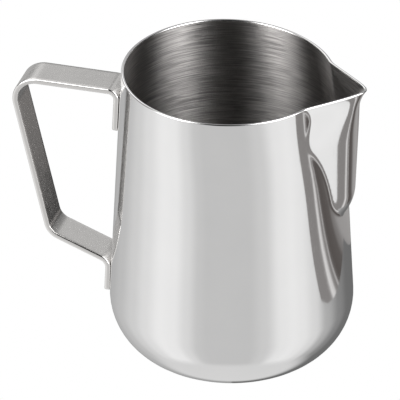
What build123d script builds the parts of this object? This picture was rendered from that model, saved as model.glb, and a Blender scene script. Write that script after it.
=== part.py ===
"""Milk frothing pitcher: a deep-drawn steel cup with a pressed pouring spout, a bent flat strap
handle, and the spot welds that hold the handle's two tabs on the cup.

Millimetres. +Z is up, the origin is the centre of the base on the table, the spout points to +X
and the handle to -X.
"""
import os
from math import atan, atan2, cos, degrees, pi, radians, sin, sqrt, tan

from build123d import *

# --- cup -----------------------------------------------------------------------------------------
HEIGHT = 114.0          # base to the back of the rim
RIM_RADIUS = 39.35      # outside, at the back of the rim
TAPER = 0.0533          # growth of the radius per millimetre down the wall
CORNER_RADIUS = 22.75   # outside, between wall and base
WALL = 1.1              # sheet thickness
RIM_FALL = 0.0216       # slope of the trimmed rim, falling towards the spout
RIM_TURN_X = 16.0       # where the rim's line starts to turn up again, towards the tip
RIM_TURN_RADIUS = 363.0
LIP_RADIUS = 0.4        # rounding of both rim edges

# --- spout ---------------------------------------------------------------------------------------
SPOUT_FOOT = 59.0       # height below which the wall is a plain cone
RIDGE_RADIUS = 47.0     # from the cup's axis to the ridge, just under the lip
RIDGE_RADIUS_Z = 105.0
RIDGE_TAPER = 0.039     # the ridge leans in towards its foot
RIDGE_FOOT_Z = 73.0     # below this height the ridge curves in to meet the wall
RIDGE_FOOT_RADIUS = 20.0
LIP_FLARE = 3.1         # outward curl of the pouring tip
LIP_FLARE_HEIGHT = 8.0
FLANK_ANGLE = 44.5      # between the flanks and the spout's plane, low on the spout
FLANK_ANGLE_RIM = 41.0  # the same at the rim
NOSE_RADIUS = 8.2       # rounding of the ridge, low on the spout
NOSE_RADIUS_RIM = 2.8   # the same at the rim
FLANK_SHARPEN_Z = 95.0  # above this height the flanks close and the nose sharpens
FOLD_BLEND = 0.6        # softness of the fold between flank and wall
DRAW_IN = 2.6           # how far pressing the spout pulls the mouth's sides in
DRAW_IN_START = 36.0    # degrees from the spout's plane, where the pull is greatest
DRAW_IN_END = 135.0     # degrees, where it has faded out
DRAW_IN_CROWDING = 3    # the higher, the nearer to the rim the pull stays

CORNER_STEPS = 12       # rows of points on the corner
WALL_STEPS = 40         # rows of points on the wall
TURN_STEPS = 80         # points of a row, on half a turn
TURN_CROWDING = 1.25    # they stand closer near the ridge
SURFACE_TOLERANCE = 0.01
TRIM_SPARE = 1.0        # wall drawn past the rim before it is trimmed

# --- handle --------------------------------------------------------------------------------------
STRAP_WIDTH = 13.5
STRAP_THICKNESS = 2.0
STRAP_EDGE_RADIUS = 0.6
ARM_Z = 101.7           # centre of the level upper arm
GRIP_TOP_X = -81.3      # corner between the upper arm and the grip
GRIP_FOOT_X = -67.2     # corner between the grip and the lower arm
GRIP_FOOT_Z = 39.4
LOWER_ARM_END_Z = 30.7  # corner between the lower arm and its tab
UPPER_TAB_END_Z = 85.8
LOWER_TAB_END_Z = 18.4
TAB_CORNER_RADIUS = 1.2
BEND_UPPER_TAB = 3.0    # bend radii at the middle of the strap's thickness
BEND_GRIP_TOP = 8.3
BEND_GRIP_FOOT = 6.5
BEND_LOWER_TAB = 4.0
TAB_CLEARANCE = 0.03    # between a tab and the wall, bridged by the welds

# --- spot welds ----------------------------------------------------------------------------------
WELD_RADIUS = 2.0
WELD_IN_WALL = 0.6      # depth of a weld in the cup's wall
WELD_IN_TAB = 1.2       # and in the tab
UPPER_WELD_HEIGHTS = (95.0, 89.5)
LOWER_WELD_HEIGHTS = (26.5, 21.5)


def smooth_step(t):
    """0 below t = 0, 1 above t = 1, smooth between."""
    t = min(max(t, 0.0), 1.0)
    return t * t * (3.0 - 2.0 * t)


def smooth_max(a, b, width):
    """The larger of a and b, with the corner between them rounded over width."""
    h = max(width - abs(a - b), 0.0) / width
    return max(a, b) + h ** 3 * width / 6.0


def wall_radius(z):
    """Outside radius of the plain cone."""
    return RIM_RADIUS + TAPER * (HEIGHT - z)


def side_radius(phi, z):
    """Outside radius away from the spout, with the mouth's sides drawn in."""
    turn = (degrees(phi) - DRAW_IN_START) / (DRAW_IN_END - DRAW_IN_START)
    round_mouth = 0.5 * (1.0 + cos(pi * min(max(turn, 0.0), 1.0)))
    depth = smooth_step((z - SPOUT_FOOT) / (HEIGHT - SPOUT_FOOT)) ** DRAW_IN_CROWDING
    return wall_radius(z) - DRAW_IN * round_mouth * depth


def ridge_radius(z):
    """Outside radius of the spout's ridge."""
    drop = 0.0
    if z < RIDGE_FOOT_Z:
        drop = RIDGE_FOOT_RADIUS - sqrt(RIDGE_FOOT_RADIUS ** 2 - (RIDGE_FOOT_Z - z) ** 2)
    flare = max(0.0, (z - (HEIGHT - LIP_FLARE_HEIGHT)) / LIP_FLARE_HEIGHT)
    return RIDGE_RADIUS - RIDGE_TAPER * (RIDGE_RADIUS_Z - z) - drop + LIP_FLARE * flare ** 2


def spout_radius(phi, z, inset):
    """Radius of the spout's section, moved inwards by inset.

    The section is a hyperbola: two nearly flat flanks, each in line with the point where they would
    meet, rounded into the nose. Past the point nearest to the cup's axis the radius stays the same.
    """
    sharp = smooth_step((z - FLANK_SHARPEN_Z) / (HEIGHT - FLANK_SHARPEN_Z))
    flank = radians(FLANK_ANGLE + (FLANK_ANGLE_RIM - FLANK_ANGLE) * sharp)
    nose = NOSE_RADIUS + (NOSE_RADIUS_RIM - NOSE_RADIUS) * sharp
    steep = 1.0 / tan(flank) ** 2
    corner = nose * steep - inset * (1.0 / sin(flank) - 1.0)
    meeting = ridge_radius(z) + nose * steep - inset / sin(flank)
    near_x = meeting / (1.0 + steep)
    near_y = sqrt(((meeting - near_x) ** 2 - corner ** 2) / steep)
    phi = min(phi, atan2(near_y, near_x))
    along = meeting * cos(phi)
    reach = meeting ** 2 - corner ** 2
    return reach / (along + sqrt(along ** 2 - reach * (cos(phi) ** 2 - steep * sin(phi) ** 2)))


def cup_radius(phi, z, inset):
    """Radius of the cup's wall at height z, phi radians from the spout's plane."""
    side = side_radius(phi, z) - inset
    return smooth_max(side, spout_radius(phi, z, inset), FOLD_BLEND)


def wall_profile(inset):
    """Heights and plain radii from the base's edge up to a little over the rim."""
    slope = atan(TAPER)
    corner = CORNER_RADIUS - inset
    centre = wall_radius(CORNER_RADIUS * (1.0 + sin(slope))) - CORNER_RADIUS * cos(slope)
    profile = []
    for i in range(CORNER_STEPS):
        turn = -pi / 2 + (slope + pi / 2) * i / CORNER_STEPS
        profile.append((centre + corner * cos(turn), CORNER_RADIUS + corner * sin(turn)))
    wall_foot = CORNER_RADIUS + corner * sin(slope)
    for i in range(WALL_STEPS + 1):
        z = wall_foot + (HEIGHT + TRIM_SPARE - wall_foot) * i / WALL_STEPS
        profile.append((wall_radius(z) - inset, z))
    return profile


def wall_surface(inset):
    """The wall from base to mouth, on the positive Y side, through a grid of computed points."""
    rows = []
    for plain_radius, z in wall_profile(inset):
        row = []
        for i in range(TURN_STEPS + 1):
            phi = pi * (i / TURN_STEPS) ** TURN_CROWDING
            radius = cup_radius(phi, z, inset) if z > SPOUT_FOOT else plain_radius
            row.append(Vector(radius * cos(phi), radius * sin(phi), z))
        rows.append(row)
    return Face.make_surface_from_array_of_points(rows, tol=SURFACE_TOLERANCE, min_deg=3, max_deg=8)


def filled_cup(inset):
    """The cup filled solid, moved inwards by inset."""
    right = wall_surface(inset)
    left = mirror(right, about=Plane.XZ)
    walls = [right, left]
    caps = []
    for end in (-1, 0):
        edges = [wall.edges().filter_by(Axis.Z, reverse=True).sort_by(Axis.Z)[end] for wall in walls]
        caps.append(Face(Wire(edges)))
    return Solid(Shell(Face.sew_faces(walls + caps)[0]))


def above_rim():
    """All that is trimmed off the mouth: the rim's line falls gently, then turns up at the spout."""
    reach = 2 * RIM_RADIUS
    back = (-reach, HEIGHT + RIM_FALL * (reach - RIM_RADIUS))
    turn = (RIM_TURN_X, HEIGHT - RIM_FALL * (RIM_TURN_X + RIM_RADIUS))
    with BuildPart() as cutter:
        with BuildSketch(Plane.XZ):
            with BuildLine():
                fall = Line(back, turn)
                rise = JernArc(turn, fall % 1, RIM_TURN_RADIUS, degrees(reach / RIM_TURN_RADIUS))
                Polyline(rise @ 1, rise @ 1 + Vector(0, reach), fall @ 0 + Vector(0, reach), back)
            make_face()
        extrude(amount=reach, both=True)
    return cutter.part


def pitcher_body():
    """Drawn cup with its spout, the mouth trimmed along the rim's line and its edges rounded."""
    body = filled_cup(0.0) - filled_cup(WALL) - above_rim()
    rim = body.faces().filter_by(lambda face: face.center().Z > SPOUT_FOOT and face.normal_at().Z > 0.9)
    lips = rim.edges().filter_by(lambda edge: edge.bounding_box().size.X > WALL)
    return fillet(lips, LIP_RADIUS)


def tab_x(z):
    """Middle of a tab that lies against the wall opposite the spout."""
    slope = atan(TAPER)
    return -(wall_radius(z) + (STRAP_THICKNESS / 2 + TAB_CLEARANCE) / cos(slope))


def is_tab_corner(edge):
    """True for the short straight edges through the strap's thickness at its two ends."""
    return edge.geom_type == GeomType.LINE and abs(edge.length - STRAP_THICKNESS) < 0.01


def handle_strap():
    """Flat strap bent into an open loop, with a tab at each end turned down along the wall."""
    route = [
        (tab_x(UPPER_TAB_END_Z), UPPER_TAB_END_Z),
        (tab_x(ARM_Z), ARM_Z),
        (GRIP_TOP_X, ARM_Z),
        (GRIP_FOOT_X, GRIP_FOOT_Z),
        (tab_x(LOWER_ARM_END_Z), LOWER_ARM_END_Z),
        (tab_x(LOWER_TAB_END_Z), LOWER_TAB_END_Z),
    ]
    bends = [BEND_UPPER_TAB, BEND_GRIP_TOP, BEND_GRIP_FOOT, BEND_LOWER_TAB]
    with BuildPart() as strap:
        with BuildSketch(Plane.XZ):
            with BuildLine() as middle:
                FilletPolyline(*route, radius=bends)
            trace(middle.line, line_width=STRAP_THICKNESS)
        extrude(amount=STRAP_WIDTH / 2, both=True)
        fillet(strap.edges().filter_by(is_tab_corner), TAB_CORNER_RADIUS)
        sides = strap.faces().filter_by(Axis.Y)
        fillet(sides.edges(), STRAP_EDGE_RADIUS)
    return strap.part


def spot_welds(heights):
    """Round weld nuggets at the given heights, half in the wall and half in the tab."""
    slope = atan(TAPER)
    nugget = Cylinder(WELD_RADIUS, WELD_IN_WALL + WELD_IN_TAB, align=(Align.CENTER, Align.CENTER, Align.MIN))
    welds = []
    for height in heights:
        wall = Plane(origin=(-wall_radius(height), 0, height), z_dir=(-cos(slope), 0, sin(slope)))
        welds.append(wall * Pos(0, 0, -WELD_IN_WALL) * nugget)
    return Compound(children=welds)


upper_welds = spot_welds(UPPER_WELD_HEIGHTS)
lower_welds = spot_welds(LOWER_WELD_HEIGHTS)
parts = {
    "pitcher_body": pitcher_body() - upper_welds - lower_welds,
    "handle_strap": handle_strap() - upper_welds - lower_welds,
    "upper_spot_welds": upper_welds,
    "lower_spot_welds": lower_welds,
}

os.makedirs("parts", exist_ok=True)
for name, part in parts.items():
    export_step(part, f"parts/{name}.step")
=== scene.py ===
"""Milk frothing pitcher: polished outside, brushed inside, with a bent strap handle.

Metres, +Z up, origin at the centre of the base. The spout points to +X and the handle to -X.
"""
from math import atan, atan2, ceil, cos, degrees, pi, radians, sin, sqrt, tan

import bpy
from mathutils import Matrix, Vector


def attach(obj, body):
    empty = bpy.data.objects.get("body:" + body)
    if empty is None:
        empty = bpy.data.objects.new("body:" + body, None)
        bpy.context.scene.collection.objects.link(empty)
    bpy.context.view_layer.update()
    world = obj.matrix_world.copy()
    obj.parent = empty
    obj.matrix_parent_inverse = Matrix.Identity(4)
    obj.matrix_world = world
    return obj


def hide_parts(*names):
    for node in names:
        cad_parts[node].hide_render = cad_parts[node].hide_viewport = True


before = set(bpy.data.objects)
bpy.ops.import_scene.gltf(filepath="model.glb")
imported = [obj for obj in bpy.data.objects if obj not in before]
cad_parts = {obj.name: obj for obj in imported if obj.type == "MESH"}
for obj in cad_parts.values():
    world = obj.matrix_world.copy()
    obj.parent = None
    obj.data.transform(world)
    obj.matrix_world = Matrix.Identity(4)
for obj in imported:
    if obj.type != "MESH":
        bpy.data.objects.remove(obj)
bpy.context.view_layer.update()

# --- cup, as in the frame; metres, and angles in degrees -----------------------------------------
HEIGHT = 0.1140
RIM_RADIUS = 0.03935
TAPER = 0.0533
CORNER_RADIUS = 0.02275
WALL = 0.0011
RIM_FALL = 0.0216
RIM_TURN_X = 0.016
RIM_TURN_RADIUS = 0.363
LIP_RADIUS = 0.00040

# --- spout ---------------------------------------------------------------------------------------
SPOUT_FOOT = 0.0590
RIDGE_RADIUS = 0.0470
RIDGE_RADIUS_Z = 0.1050
RIDGE_TAPER = 0.039
RIDGE_FOOT_Z = 0.0730
RIDGE_FOOT_RADIUS = 0.0200
LIP_FLARE = 0.00292  # a little less than in the frame, so that the tip stays inside its box
LIP_FLARE_HEIGHT = 0.0080
FLANK_ANGLE = 44.5
FLANK_ANGLE_RIM = 41.0
NOSE_RADIUS = 0.0082
NOSE_RADIUS_RIM = 0.0028
FLANK_SHARPEN_Z = 0.0950
FOLD_BLEND = 0.0006
DRAW_IN = 0.0026
DRAW_IN_START = 36.0
DRAW_IN_END = 135.0
DRAW_IN_CROWDING = 3

# --- how finely the cup is meshed ----------------------------------------------------------------
TURN_STEPS = 150
TURN_CROWDING = 1.25
BASE_STEPS = 4
CORNER_STEPS = 18
CONE_STEPS = 8
SPOUT_STEPS = 84
LIP_STEPS = 8
TRIM_ROUNDS = 8  # how often the rim's height is worked out again from the radius it gives

# --- handle --------------------------------------------------------------------------------------
STRAP_WIDTH = 0.0135
STRAP_THICKNESS = 0.0020
STRAP_EDGE_RADIUS = 0.0006
ARM_Z = 0.1017
GRIP_TOP_X = -0.0813
GRIP_FOOT_X = -0.0672
GRIP_FOOT_Z = 0.0394
LOWER_ARM_END_Z = 0.0307
UPPER_TAB_END_Z = 0.0858
LOWER_TAB_END_Z = 0.0184
TAB_CORNER_RADIUS = 0.0012
BENDS = (0.0030, 0.0083, 0.0065, 0.0040)
TAB_CLEARANCE = 0.00003

# --- how finely the strap is meshed --------------------------------------------------------------
STRAIGHT_STEP = 0.0012
BEND_STEP = radians(4.0)
FLAT_STEPS = 12
EDGE_STEPS = 5
TAB_CORNER_STEPS = 6
CORNER_ROOM = 1.05  # how far plain sections stay from a tab's end, in corner radii

# --- camera --------------------------------------------------------------------------------------
AIM = Vector((0.0, 0.0, 0.057))
CAMERA_AZIMUTH = 16.0
CAMERA_ELEVATION = 30.66
CAMERA_DISTANCE = 2.28
SENSOR = 36.0
LENS = 569.5
SHIFT_X = -0.0791
SHIFT_Y = 0.0197
CLIP_END = 20.0


# --- cup shape -----------------------------------------------------------------------------------
def clamp(t):
    return min(max(t, 0.0), 1.0)


def smooth_step(t):
    t = clamp(t)
    return t * t * (3.0 - 2.0 * t)


def smooth_max(a, b, width):
    h = max(width - abs(a - b), 0.0) / width
    return max(a, b) + h ** 3 * width / 6.0


def wall_radius(z):
    return RIM_RADIUS + TAPER * (HEIGHT - z)


def side_radius(phi, z):
    turn = (degrees(phi) - DRAW_IN_START) / (DRAW_IN_END - DRAW_IN_START)
    round_mouth = 0.5 * (1.0 + cos(pi * clamp(turn)))
    depth = smooth_step((z - SPOUT_FOOT) / (HEIGHT - SPOUT_FOOT)) ** DRAW_IN_CROWDING
    return wall_radius(z) - DRAW_IN * round_mouth * depth


def ridge_radius(z):
    drop = 0.0
    if z < RIDGE_FOOT_Z:
        drop = RIDGE_FOOT_RADIUS - sqrt(RIDGE_FOOT_RADIUS ** 2 - (RIDGE_FOOT_Z - z) ** 2)
    flare = max(0.0, (z - (HEIGHT - LIP_FLARE_HEIGHT)) / LIP_FLARE_HEIGHT)
    return RIDGE_RADIUS - RIDGE_TAPER * (RIDGE_RADIUS_Z - z) - drop + LIP_FLARE * flare ** 2


def spout_radius(phi, z, inset):
    """Radius of the spout's section, moved inwards by inset.

    The section is a hyperbola: two nearly flat flanks, each in line with the point where they would
    meet, rounded into the nose. Past the point nearest to the cup's axis the radius stays the same.
    """
    sharp = smooth_step((z - FLANK_SHARPEN_Z) / (HEIGHT - FLANK_SHARPEN_Z))
    flank = radians(FLANK_ANGLE + (FLANK_ANGLE_RIM - FLANK_ANGLE) * sharp)
    nose = NOSE_RADIUS + (NOSE_RADIUS_RIM - NOSE_RADIUS) * sharp
    steep = 1.0 / tan(flank) ** 2
    corner = nose * steep - inset * (1.0 / sin(flank) - 1.0)
    meeting = ridge_radius(z) + nose * steep - inset / sin(flank)
    near_x = meeting / (1.0 + steep)
    near_y = sqrt(((meeting - near_x) ** 2 - corner ** 2) / steep)
    phi = min(phi, atan2(near_y, near_x))
    along = meeting * cos(phi)
    reach = meeting ** 2 - corner ** 2
    return reach / (along + sqrt(along ** 2 - reach * (cos(phi) ** 2 - steep * sin(phi) ** 2)))


def cup_radius(phi, z, inset):
    if z <= SPOUT_FOOT:
        return wall_radius(z) - inset
    side = side_radius(phi, z) - inset
    return smooth_max(side, spout_radius(phi, z, inset), FOLD_BLEND)


def turns():
    """Angles round the cup, closer together near the spout, from the ridge all the way round."""
    half = [pi * (i / TURN_STEPS) ** TURN_CROWDING for i in range(TURN_STEPS + 1)]
    return half + [-phi for phi in reversed(half[1:-1])]


def corner_centre():
    slope = atan(TAPER)
    return wall_radius(CORNER_RADIUS * (1.0 + sin(slope))) - CORNER_RADIUS * cos(slope)


def low_rings(inset):
    """Rings of the base, the corner and the plain cone, as (radius, height), from the middle out."""
    slope = atan(TAPER)
    corner = CORNER_RADIUS - inset
    centre = corner_centre()
    rings = [(centre * i / BASE_STEPS, inset) for i in range(1, BASE_STEPS)]
    for i in range(CORNER_STEPS):
        turn = -pi / 2 + (slope + pi / 2) * i / CORNER_STEPS
        rings.append((centre + corner * cos(turn), CORNER_RADIUS + corner * sin(turn)))
    foot = CORNER_RADIUS + corner * sin(slope)
    for i in range(CONE_STEPS):
        z = foot + (SPOUT_FOOT - foot) * i / CONE_STEPS
        rings.append((wall_radius(z) - inset, z))
    return rings


def rim_height(phi, inset):
    """Height of the trimmed rim at the outside or inside of the wall."""
    z = HEIGHT
    for _ in range(TRIM_ROUNDS):
        x = cup_radius(abs(phi), z, inset) * cos(phi)
        rise = max(x - RIM_TURN_X, 0.0) ** 2 / (2 * RIM_TURN_RADIUS)
        z = HEIGHT - RIM_FALL * (x + RIM_RADIUS) + rise
    return z


def high_ring(share, inset, angles):
    """A ring of the spout's zone, share 0 at its foot and 1 where the lip's rounding starts."""
    ring = []
    for phi in angles:
        top = rim_height(phi, inset) - LIP_RADIUS
        z = SPOUT_FOOT + (top - SPOUT_FOOT) * share
        radius = cup_radius(abs(phi), z, inset)
        ring.append(Vector((radius * cos(phi), radius * sin(phi), z)))
    return ring


def lip_rings(outer, inner):
    """Rings over the rounded edge of the sheet, between the outside's last ring and the inside's."""
    rings = []
    for i in range(1, LIP_STEPS):
        turn = pi * i / LIP_STEPS
        ring = []
        for a, b in zip(outer, inner):
            point = (a + b) / 2 + (a - b) / 2 * cos(turn)
            point.z += LIP_RADIUS * sin(turn)
            ring.append(point)
        rings.append(ring)
    return rings


def mesh_piece(name, points, faces, materials, material_of_face):
    """A smooth mesh riding on the pitcher's one body."""
    mesh = bpy.data.meshes.new(name)
    mesh.from_pydata(points, [], faces)
    for material in materials:
        mesh.materials.append(material)
    mesh.polygons.foreach_set("material_index", material_of_face)
    mesh.polygons.foreach_set("use_smooth", [True] * len(mesh.polygons))
    mesh.validate()
    piece = bpy.data.objects.new(name, mesh)
    bpy.context.scene.collection.objects.link(piece)
    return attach(piece, "root")


def drawn_cup(outside, inside):
    """The cup as one closed sheet: base, wall and lip outside, then the same inside."""
    angles = turns()
    count = len(angles)
    outer = [[Vector((r * cos(a), r * sin(a), z)) for a in angles] for r, z in low_rings(0.0)]
    outer += [high_ring(i / SPOUT_STEPS, 0.0, angles) for i in range(SPOUT_STEPS + 1)]
    inner = [[Vector((r * cos(a), r * sin(a), z)) for a in angles] for r, z in low_rings(WALL)]
    inner += [high_ring(i / SPOUT_STEPS, WALL, angles) for i in range(SPOUT_STEPS + 1)]
    rings = outer + lip_rings(outer[-1], inner[-1]) + inner[::-1]
    points = [Vector((0, 0, 0))] + [p for ring in rings for p in ring] + [Vector((0, 0, WALL))]
    faces = [(0, 1 + (i + 1) % count, 1 + i) for i in range(count)]
    for row in range(len(rings) - 1):
        low = 1 + row * count
        for i in range(count):
            j = (i + 1) % count
            faces.append((low + i, low + j, low + count + j, low + count + i))
    last = 1 + (len(rings) - 1) * count
    top = len(points) - 1
    faces += [(top, last + i, last + (i + 1) % count) for i in range(count)]
    outside_faces = count * (len(outer) + LIP_STEPS)
    kinds = [0 if i < outside_faces else 1 for i in range(len(faces))]
    cup = mesh_piece("cup", points, faces, [outside, inside], kinds)
    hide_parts("pitcher_body")
    return cup


# --- strap shape ---------------------------------------------------------------------------------
def tab_x(z):
    return -(wall_radius(z) + (STRAP_THICKNESS / 2 + TAB_CLEARANCE) / cos(atan(TAPER)))


def strap_route():
    """Corners of the strap's middle line in the XZ plane, from the upper tab's end to the lower's."""
    return [
        Vector((tab_x(UPPER_TAB_END_Z), UPPER_TAB_END_Z)),
        Vector((tab_x(ARM_Z), ARM_Z)),
        Vector((GRIP_TOP_X, ARM_Z)),
        Vector((GRIP_FOOT_X, GRIP_FOOT_Z)),
        Vector((tab_x(LOWER_ARM_END_Z), LOWER_ARM_END_Z)),
        Vector((tab_x(LOWER_TAB_END_Z), LOWER_TAB_END_Z)),
    ]


def strap_line():
    """Points of the middle line with the way it runs there: straight runs and round bends."""
    route = strap_route()
    line = []
    start = route[0]
    for k, radius in enumerate(BENDS):
        before = (route[k] - route[k + 1]).normalized()
        after = (route[k + 2] - route[k + 1]).normalized()
        half = before.angle(after) / 2
        bend_start = route[k + 1] + before * radius / tan(half)
        line += straight_run(start, bend_start)
        centre = route[k + 1] + (before + after).normalized() * radius / sin(half)
        turn = pi - 2 * half
        side = 1 if before.x * after.y - before.y * after.x < 0 else -1
        steps = ceil(turn / BEND_STEP)
        for i in range(steps):
            angle = side * turn * i / steps
            arm = bend_start - centre
            arm = Vector((
                arm.x * cos(angle) - arm.y * sin(angle),
                arm.x * sin(angle) + arm.y * cos(angle)))
            way = Vector((-arm.y, arm.x)).normalized() * side
            line.append((centre + arm, way))
        start = route[k + 1] + after * radius / tan(half)
    line += straight_run(start, route[-1], closed=True)
    return line


def straight_run(start, end, closed=False):
    steps = ceil((end - start).length / STRAIGHT_STEP)
    way = (end - start).normalized()
    return [(start.lerp(end, i / steps), way) for i in range(steps + (1 if closed else 0))]


def rounded_ends(line):
    """The line's points with how far the strap's edges stand in there, round at both tabs' corners."""
    spans = [(place, way, 0.0) for place, way in line[1:-1]]
    for (place, way), inward in ((line[0], 1), (line[-1], -1)):
        corner = []
        for i in range(TAB_CORNER_STEPS + 1):
            turn = pi / 2 * i / TAB_CORNER_STEPS
            along = way * inward * TAB_CORNER_RADIUS * (1 - cos(turn))
            corner.append((place + along, way, TAB_CORNER_RADIUS * (1 - sin(turn))))
        keep = [span for span in spans if (span[0] - place).length > TAB_CORNER_RADIUS * CORNER_ROOM]
        spans = corner + keep if inward == 1 else keep + corner[::-1]
    return spans


def strap_section(width, thickness, edge):
    """Outline of the strap's section as (across, out) pairs, counterclockwise."""
    outline = []
    for corner, (sx, sy) in enumerate(((1, 1), (-1, 1), (-1, -1), (1, -1))):
        middle = (sx * (width / 2 - edge), sy * (thickness / 2 - edge))
        for i in range(EDGE_STEPS + 1):
            turn = pi / 2 * (corner + i / EDGE_STEPS)
            outline.append((middle[0] + edge * cos(turn), middle[1] + edge * sin(turn)))
        if corner in (0, 2):
            length = sx * (width - 2 * edge)
            for i in range(1, FLAT_STEPS):
                outline.append((middle[0] - length * i / FLAT_STEPS, outline[-1][1]))
    return outline


def strap(finish):
    """The handle: the rounded section carried along the middle line, closed at the tabs' ends."""
    line = strap_line()
    rings = []
    for place, way, inset in rounded_ends(line):
        out = Vector((-way.y, way.x))
        ring = []
        for across, off in strap_section(STRAP_WIDTH - 2 * inset, STRAP_THICKNESS, STRAP_EDGE_RADIUS):
            at = place + out * off
            ring.append(Vector((at.x, across, at.y)))
        rings.append(ring)
    count = len(rings[0])
    points = [p for ring in rings for p in ring]
    faces = []
    for row in range(len(rings) - 1):
        low = row * count
        for i in range(count):
            j = (i + 1) % count
            faces.append((low + i, low + j, low + count + j, low + count + i))
    faces.append(tuple(reversed(range(count))))
    faces.append(tuple(range(len(points) - count, len(points))))
    piece = mesh_piece("handle", points, faces, [finish], [0] * len(faces))
    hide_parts("handle_strap")
    return piece


# --- finishes ------------------------------------------------------------------------------------
# Lines round the cup: how fine and how long they are.
POLISH_LINES = (0.00025, 0.012)
BRUSH_LINES = (0.00030, 0.012)
COARSE_BRUSH_LINES = (0.0016, 0.030)
BASE_LINES_RADIUS = 0.030  # the lines are rings on the base inside this, level outside
WORN_FOOT = (0.0022, 0.0002)  # heights between which the foot turns dull
# Scratches: the size of their net and how wide each is in it.
SHEET_SCRATCHES = (0.009, 0.012)
STRAP_SCRATCHES = (0.005, 0.03)
SCRATCH_LEAN = (0.5, 0.9, 0.3)
SCRATCH_STRETCH = (1.0, 6.0, 1.4)
SCRATCH_PATCHES = (0.52, 0.62)
STRAP_GRAIN = (90.0, 2600.0, 90.0)
STRAP_POLISHED_EDGE = (0.0010, 0.0004)  # distances from the strap's edge
STRAP_EDGE_ROUGHNESS = 0.07
# The strap's slow unevenness: how close, how strong, how deep.
STRAP_BOW_SCALE = 34.0
STRAP_BOW_STRENGTH = 0.5
STRAP_BOW_DEPTH = -0.0009
POLISHED_COLOURS = ((0.865, 0.862, 0.862, 1), (0.915, 0.910, 0.905, 1))
# The inside's greys are painted shade in the cup, far darker than the outside's; the brush lines vary
# the tone between them.
BRUSHED_AND_SHADED_COLOURS = ((0.26, 0.252, 0.248, 1), (0.56, 0.54, 0.525, 1))
STRAP_COLOURS = ((0.83, 0.815, 0.80, 1), (0.90, 0.885, 0.865, 1))


class Nodes:
    """Short spelling for building a node tree."""

    def __init__(self, tree):
        self.tree = tree
        tree.nodes.clear()

    def add(self, kind, inputs=None, **settings):
        node = self.tree.nodes.new(kind)
        for key, value in settings.items():
            setattr(node, key, value)
        for key, value in (inputs or {}).items():
            if isinstance(value, bpy.types.NodeSocket):
                self.tree.links.new(value, node.inputs[key])
            else:
                node.inputs[key].default_value = value
        return node

    def math(self, operation, a, b=0.0, c=0.0):
        node = self.add("ShaderNodeMath", {0: a, 1: b, 2: c}, operation=operation)
        return node.outputs[0]

    def step(self, value, low, high):
        """0 at low, 1 at high, smooth between; low may be the larger."""
        inputs = {0: value, 1: low, 2: high}
        return self.add("ShaderNodeMapRange", inputs, interpolation_type="SMOOTHSTEP").outputs[0]

    def noise(self, vector, scale, detail):
        inputs = {"Vector": vector, "Scale": scale, "Detail": detail}
        return self.add("ShaderNodeTexNoise", inputs).outputs[0]

    def bump(self, height, strength, distance, under=None):
        inputs = {"Height": height, "Strength": strength, "Distance": distance}
        if under:
            inputs["Normal"] = under
        return self.add("ShaderNodeBump", inputs).outputs[0]

    def mix(self, share, a, b):
        node = self.add("ShaderNodeMix", {0: share, 6: a, 7: b}, data_type="RGBA")
        return node.outputs[2]

    def blend(self, share, a, b):
        return self.add("ShaderNodeMix", {0: share, 2: a, 3: b}, data_type="FLOAT").outputs[0]

    def ramp(self, value, stops):
        """Greys along value, as (position, grey), smooth between."""
        node = self.add("ShaderNodeValToRGB", {0: value})
        elements = node.color_ramp.elements
        node.color_ramp.interpolation = "EASE"
        while len(elements) > 1:
            elements.remove(elements[-1])
        elements[0].position, elements[0].color = stops[0][0], grey(stops[0][1])
        for position, level in stops[1:]:
            elements.new(position).color = grey(level)
        return node.outputs[0]


def grey(level):
    """Linear colour of an even grey given as it shows on screen, 0 to 255."""
    s = level / 255
    linear = s / 12.92 if s <= 0.04045 else ((s + 0.055) / 1.055) ** 2.4
    return (linear, linear, linear, 1)


def new_material(name):
    material = bpy.data.materials.new(name)
    material.use_nodes = True
    return material, Nodes(material.node_tree)


def lines_round(nodes, fineness, length):
    """Noise drawn out into lines round the cup: rings on the base, level lines on the wall."""
    place = nodes.add("ShaderNodeTexCoord").outputs["Object"]
    parts = nodes.add("ShaderNodeSeparateXYZ", {0: place})
    flat = nodes.add("ShaderNodeCombineXYZ", {0: parts.outputs[0], 1: parts.outputs[1]})
    radius = nodes.add("ShaderNodeVectorMath", {0: flat.outputs[0]}, operation="LENGTH").outputs["Value"]
    run = nodes.math("ADD", nodes.math("MINIMUM", radius, BASE_LINES_RADIUS), parts.outputs[2])
    across = nodes.math("MULTIPLY", run, 1.0 / fineness)
    along = [nodes.math("MULTIPLY", parts.outputs[k], 1.0 / length) for k in (0, 1)]
    vector = nodes.add("ShaderNodeCombineXYZ", {0: along[0], 1: along[1], 2: across})
    return nodes.noise(vector.outputs[0], 1.0, 4.0)


def scratches(nodes, size, share):
    """Thin stray scratches: 1 on a scratch, 0 elsewhere. share is how wide each one is."""
    place = nodes.add("ShaderNodeTexCoord").outputs["Object"]
    inputs = {0: place, "Rotation": SCRATCH_LEAN, "Scale": SCRATCH_STRETCH}
    bent = nodes.add("ShaderNodeMapping", inputs)
    cells = nodes.add("ShaderNodeTexVoronoi", {"Vector": bent.outputs[0], "Scale": 1.0 / size},
                      feature="DISTANCE_TO_EDGE")
    line = nodes.step(cells.outputs["Distance"], share, 0.0)
    some = nodes.step(nodes.noise(place, 2.0 / size, 2.0), *SCRATCH_PATCHES)
    return nodes.math("MULTIPLY", line, some)


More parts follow.
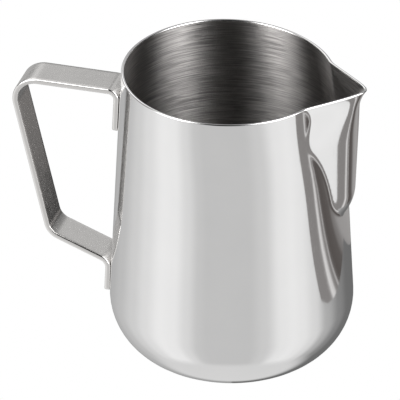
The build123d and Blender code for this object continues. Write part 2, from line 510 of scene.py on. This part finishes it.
def polished_steel():
    """Mirror-polished sheet: faint polishing lines, soft waviness, small scratches, a worn foot."""
    material, nodes = new_material("polished_steel")
    place = nodes.add("ShaderNodeTexCoord").outputs["Object"]
    height = nodes.add("ShaderNodeSeparateXYZ", {0: place}).outputs[2]
    lines = lines_round(nodes, *POLISH_LINES)
    clouds = nodes.noise(place, 70.0, 3.0)
    marks = scratches(nodes, *SHEET_SCRATCHES)
    foot = nodes.step(height, *WORN_FOOT)
    rough = nodes.math("MULTIPLY_ADD", lines, 0.045, 0.022)
    rough = nodes.math("MULTIPLY_ADD", clouds, 0.05, rough)
    rough = nodes.math("MULTIPLY_ADD", marks, 0.12, rough)
    rough = nodes.math("MULTIPLY_ADD", foot, 0.22, rough)
    waves = nodes.bump(nodes.noise(place, 38.0, 1.0), 0.05, 0.0012)
    fine = nodes.bump(lines, 0.02, 0.00004, waves)
    cut = nodes.bump(marks, 0.12, -0.00001, fine)
    tint = nodes.mix(clouds, *POLISHED_COLOURS)
    shader = nodes.add("ShaderNodeBsdfPrincipled", {
        "Metallic": 1.0, "Base Color": tint, "Roughness": rough, "Normal": cut})
    nodes.add("ShaderNodeOutputMaterial", {"Surface": shader.outputs[0]})
    return material


def brushed_inside():
    """Inside of the cup, brushed round the axis, so that lights draw out into upright streaks. Its
    colour is painted shade, far darker than the outside's, with a tone that varies along the brush
    lines.
    """
    material, nodes = new_material("brushed_inside")
    place = nodes.add("ShaderNodeTexCoord").outputs["Object"]
    lines = nodes.step(lines_round(nodes, *BRUSH_LINES), 0.34, 0.68)
    coarse = lines_round(nodes, *COARSE_BRUSH_LINES)
    clouds = nodes.noise(place, 45.0, 3.0)
    rough = nodes.math("MULTIPLY_ADD", lines, 0.14, 0.30)
    rough = nodes.math("MULTIPLY_ADD", coarse, 0.14, rough)
    grooves = nodes.bump(lines, 0.45, 0.00006)
    grooves = nodes.bump(coarse, 0.15, 0.0001, grooves)
    polish = nodes.math("MULTIPLY_ADD", lines, 0.75, nodes.math("MULTIPLY", clouds, 0.25))
    # Painted shade: the inside's colour is kept far darker than the outside's, lighter and darker along
    # the brush lines.
    tint = nodes.mix(polish, *BRUSHED_AND_SHADED_COLOURS)
    around = nodes.add("ShaderNodeTangent", direction_type="RADIAL", axis="Z")
    shader = nodes.add("ShaderNodeBsdfPrincipled", {
        "Metallic": 1.0, "Base Color": tint, "Roughness": rough, "Normal": grooves,
        "Anisotropic": 1.0, "Anisotropic Rotation": 0.25, "Tangent": around.outputs[0]})
    nodes.add("ShaderNodeOutputMaterial", {"Surface": shader.outputs[0]})
    return material


def strap_steel(name):
    """Rolled strip: a fine grain, mottled where it was handled, polished along its rounded edges."""
    material, nodes = new_material(name)
    place = nodes.add("ShaderNodeTexCoord").outputs["Object"]
    across = nodes.add("ShaderNodeSeparateXYZ", {0: place}).outputs[1]
    from_edge = nodes.math("SUBTRACT", STRAP_WIDTH / 2, nodes.math("ABSOLUTE", across))
    edge = nodes.step(from_edge, *STRAP_POLISHED_EDGE)
    stretched = nodes.add("ShaderNodeMapping", {0: place, "Scale": STRAP_GRAIN})
    grain = nodes.noise(stretched.outputs[0], 1.0, 4.0)
    mottle = nodes.noise(place, 420.0, 4.0)
    clouds = nodes.noise(place, 60.0, 2.0)
    marks = scratches(nodes, *STRAP_SCRATCHES)
    flat = nodes.math("MULTIPLY_ADD", grain, 0.12, 0.12)
    flat = nodes.math("MULTIPLY_ADD", mottle, 0.16, flat)
    flat = nodes.math("MULTIPLY_ADD", marks, 0.15, flat)
    rough = nodes.blend(edge, flat, STRAP_EDGE_ROUGHNESS)
    slow = nodes.noise(place, STRAP_BOW_SCALE, 0.0)
    bow = nodes.bump(slow, STRAP_BOW_STRENGTH, STRAP_BOW_DEPTH)
    pits = nodes.bump(nodes.math("MULTIPLY_ADD", mottle, 0.6, grain), 0.05, 0.00005, bow)
    cut = nodes.bump(marks, 0.12, -0.00002, pits)
    tint = nodes.mix(clouds, *STRAP_COLOURS)
    shader = nodes.add("ShaderNodeBsdfPrincipled", {
        "Metallic": 1.0, "Base Color": tint, "Roughness": rough, "Normal": cut})
    nodes.add("ShaderNodeOutputMaterial", {"Surface": shader.outputs[0]})
    return material


# --- studio --------------------------------------------------------------------------------------
# What stands round the object below the horizon: soft boards, as (degrees from the camera, grey).
LOW_BOARDS = (
    (-180, 150), (-154, 174), (-130, 186), (-107, 204), (-90, 218), (-70, 233), (-56, 231),
    (-43, 214), (-31, 195), (-23, 191), (16, 191), (31, 201), (48, 227), (60, 231), (70, 227),
    (85, 212), (101, 171), (122, 131), (141, 107), (180, 101),
)
TABLE_GREY = 208
CEILING_GREY = 8
SOFT_BORDER = 0.04
BRIGHTNESS = 1.13  # makes up for what the steel swallows
FLOOR_HALF = 4.0
HORIZON = (-0.02, 0.10)  # heights of a ray between which the low ring gives way to the high one
TABLE_RIM = (-0.80, -0.92)
CEILING_RIM = (0.90, 0.98)
WARM_TINT = (0.25, 0.13, 0.08, 1)
WARM_SHARE = 0.08
WHITE = (1, 1, 1, 1)
# What hangs round and over it: two tall soft lights in front, a dim one behind, the dark room.
HIGH_LIGHTS = (
    (-180, 60), (-140, 70), (-112, 8), (-92, 14), (-80, 120), (-70, 240), (-58, 255), (-46, 240),
    (-36, 90), (-26, 40), (-12, 14), (2, 8), (14, 30), (28, 50), (38, 120), (46, 240), (58, 255),
    (70, 240), (80, 120), (92, 14), (112, 8), (135, 60), (158, 92), (180, 60),
)
HIGH_BRIGHTNESS = 5.0
# Soft spots: (degrees from the camera, elevation, core, reach, lowest height of its ray, grey).
BACK_LIGHT = (-152, 38, 10, 27, 0.20, 128)
DARK_DOORWAY = (136, -8, 22, 40, -0.42, 44)
DARK_CORNER = (-141, -15, 9, 14, -0.60, 52)
# A glowing board lying right of the spout: its corners, and its greys along +Y, in metres. The greys are
# painted light and shade that the steel reflects.
BOARD_OUTLINE = (
    (0.104, 0.004), (0.250, -0.018), (0.900, -0.115), (0.900, 0.600), (0.020, 0.600),
    (0.030, 0.084), (0.084, 0.084), (0.086, 0.055), (0.090, 0.030), (0.096, 0.014),
)
BOARD_GREYS = (
    (-0.115, 125), (0.019, 130), (0.023, 146), (0.026, 214), (0.031, 205), (0.034, 140),
    (0.038, 118), (0.041, 176), (0.044, 92), (0.050, 78), (0.066, 84), (0.076, 118),
    (0.090, 150), (0.125, 158), (0.170, 140), (0.300, 120),
)
BOARD_WANDER = 0.012


def way(azimuth, elevation):
    """Direction in the world, the azimuth measured from the camera's."""
    turn, tilt = radians(azimuth + CAMERA_AZIMUTH), radians(elevation)
    return Vector((sin(turn) * cos(tilt), -cos(turn) * cos(tilt), sin(tilt)))


def soft_spot(nodes, towards, rise, under, azimuth, elevation, core, reach, lowest, level):
    """A round patch of even grey with a soft border, cut off below the given height."""
    facing = nodes.add("ShaderNodeVectorMath", {0: towards, 1: way(azimuth, elevation)},
                       operation="DOT_PRODUCT").outputs["Value"]
    patch = nodes.step(facing, cos(radians(reach)), cos(radians(core)))
    above = nodes.step(rise, lowest - SOFT_BORDER, lowest + SOFT_BORDER)
    return nodes.mix(nodes.math("MULTIPLY", patch, above), under, grey(level))


def studio():
    world = bpy.data.worlds.new("studio")
    bpy.context.scene.world = world
    world.use_nodes = True
    nodes = Nodes(world.node_tree)
    towards = nodes.add("ShaderNodeTexCoord").outputs["Generated"]
    parts = nodes.add("ShaderNodeSeparateXYZ", {0: towards})
    azimuth = nodes.math("ARCTAN2", parts.outputs[0], nodes.math("MULTIPLY", parts.outputs[1], -1.0))
    turned = nodes.math("MULTIPLY_ADD", azimuth, 0.5 / pi, 0.5 - CAMERA_AZIMUTH / 360)
    place = nodes.math("FRACT", turned)
    rise = parts.outputs[2]
    low = nodes.ramp(place, [((angle + 180) / 360, level) for angle, level in LOW_BOARDS])
    low = nodes.mix(nodes.step(rise, *TABLE_RIM), low, grey(TABLE_GREY))
    high = nodes.ramp(place, [((angle + 180) / 360, level) for angle, level in HIGH_LIGHTS])
    high = nodes.mix(nodes.step(rise, *CEILING_RIM), high, grey(CEILING_GREY))
    high = soft_spot(nodes, towards, rise, high, *BACK_LIGHT)
    low = soft_spot(nodes, towards, rise, low, *DARK_DOORWAY)
    low = soft_spot(nodes, towards, rise, low, *DARK_CORNER)
    bright = nodes.add("ShaderNodeVectorMath", {0: high, "Scale": HIGH_BRIGHTNESS}, operation="SCALE")
    colour = nodes.mix(nodes.step(rise, *HORIZON), low, bright.outputs[0])
    sees = nodes.add("ShaderNodeLightPath").outputs["Is Camera Ray"]
    colour = nodes.mix(sees, colour, WHITE)
    light = nodes.add("ShaderNodeBackground", {"Color": colour, "Strength": BRIGHTNESS})
    nodes.add("ShaderNodeOutputWorld", {"Surface": light.outputs[0]})


def side_board():
    """The board beside the spout: a glowing card, no lamp, whose greys are painted light and shade. It
    shows only in reflections.
    """
    mesh = bpy.data.meshes.new("side_board")
    mesh.from_pydata([(x, y, 0.0) for x, y in BOARD_OUTLINE], [], [tuple(range(len(BOARD_OUTLINE)))])
    material, nodes = new_material("side_board")
    place = nodes.add("ShaderNodeTexCoord").outputs["Object"]
    depth = nodes.add("ShaderNodeSeparateXYZ", {0: place}).outputs[1]
    wander = nodes.math("MULTIPLY_ADD", nodes.noise(place, 9.0, 2.0), BOARD_WANDER, -BOARD_WANDER / 2)
    low, high = BOARD_GREYS[0][0], BOARD_GREYS[-1][0]
    span = high - low
    share = nodes.math("MULTIPLY_ADD", nodes.math("ADD", depth, wander), 1 / span, -low / span)
    stops = [((y - low) / span, level) for y, level in BOARD_GREYS]
    tone = nodes.ramp(share, stops)
    warm = nodes.mix(WARM_SHARE, tone, WARM_TINT)
    # Painted light: the board glows with its greys of light and shade.
    glow = nodes.add("ShaderNodeEmission", {"Color": warm, "Strength": BRIGHTNESS})
    nodes.add("ShaderNodeOutputMaterial", {"Surface": glow.outputs[0]})
    mesh.materials.append(material)
    piece = bpy.data.objects.new("side_board", mesh)
    bpy.context.scene.collection.objects.link(piece)
    piece.visible_camera = False
    piece.visible_shadow = False


def floor():
    mesh = bpy.data.meshes.new("floor")
    corners = [(sx * FLOOR_HALF, sy * FLOOR_HALF, 0) for sx, sy in ((-1, -1), (1, -1), (1, 1), (-1, 1))]
    mesh.from_pydata(corners, [], [(0, 1, 2, 3)])
    material, nodes = new_material("floor")
    glow = nodes.add("ShaderNodeEmission", {"Color": WHITE, "Strength": 1.0})
    nodes.add("ShaderNodeOutputMaterial", {"Surface": glow.outputs[0]})
    mesh.materials.append(material)
    piece = bpy.data.objects.new("floor", mesh)
    bpy.context.scene.collection.objects.link(piece)
    piece.visible_glossy = False


def camera():
    azimuth, elevation = radians(CAMERA_AZIMUTH), radians(CAMERA_ELEVATION)
    back = Vector((sin(azimuth) * cos(elevation), -cos(azimuth) * cos(elevation), sin(elevation)))
    data = bpy.data.cameras.new("camera")
    data.sensor_width = SENSOR
    data.lens = LENS
    data.shift_x = SHIFT_X
    data.shift_y = SHIFT_Y
    data.clip_end = CLIP_END
    eye = bpy.data.objects.new("camera", data)
    bpy.context.scene.collection.objects.link(eye)
    eye.location = AIM + back * CAMERA_DISTANCE
    eye.rotation_euler = back.to_track_quat("Z", "Y").to_euler()
    bpy.context.scene.camera = eye


drawn_cup(polished_steel(), brushed_inside())
strap(strap_steel("strap_steel"))
weld_steel = strap_steel("weld_steel")
for weld in ("upper_spot_welds", "lower_spot_welds"):
    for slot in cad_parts[weld].material_slots:
        slot.material = weld_steel
floor()
side_board()
studio()
camera()
bpy.context.scene.view_settings.view_transform = "Standard"
